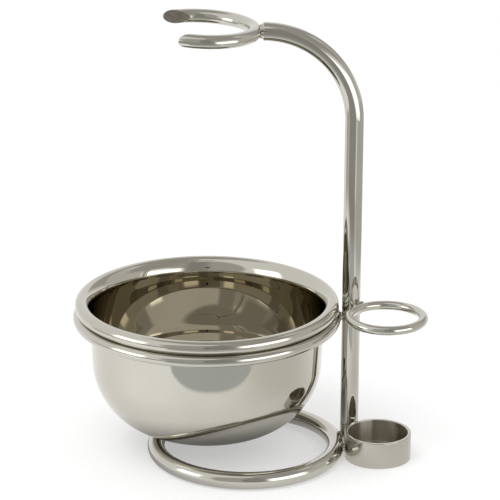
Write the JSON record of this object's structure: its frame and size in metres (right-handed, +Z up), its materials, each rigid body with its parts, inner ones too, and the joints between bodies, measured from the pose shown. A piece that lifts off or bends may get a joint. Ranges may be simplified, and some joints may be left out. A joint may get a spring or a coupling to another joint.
{
  "type": "shaving stand with bowl",
  "caption": "Round-rod shaving stand: a bent post on a base ring holds a brush fork, a removable flared bowl in a ring, a razor ring and a cup.",
  "frame": {"origin": "on the table, under the middle of the whole stand", "axes": "+X from the bowl to the post, -Y towards the front, +Z up"},
  "size_m": [0.1201, 0.0914, 0.1499],
  "materials": {
    "rod_chrome": "polished nickel-chrome plating on round rod",
    "bowl_chrome": "mirror polished spun sheet",
    "cup_chrome": "polished outside, turned inside",
    "peg_steel": "plain steel, brazed in"
  },
  "bodies": {
    "stand": {"base_ring": "rod_chrome", "post": "rod_chrome", "brush_fork": "rod_chrome", "bowl_ring": "rod_chrome", "razor_ring": "rod_chrome", "razor_cup": "cup_chrome", "base_peg": "peg_steel", "bowl_ring_peg": "peg_steel", "razor_ring_peg": "peg_steel", "cup_peg": "peg_steel", "fork_stud": "peg_steel"},
    "loose_bowl": {"bowl": "bowl_chrome"}
  },
  "joints": [
    {"name": "bowl_lift", "type": "slide", "parent": "stand", "child": "loose_bowl", "axis": [0, 0, 1], "range_m": [0, 0.05]}
  ]
}
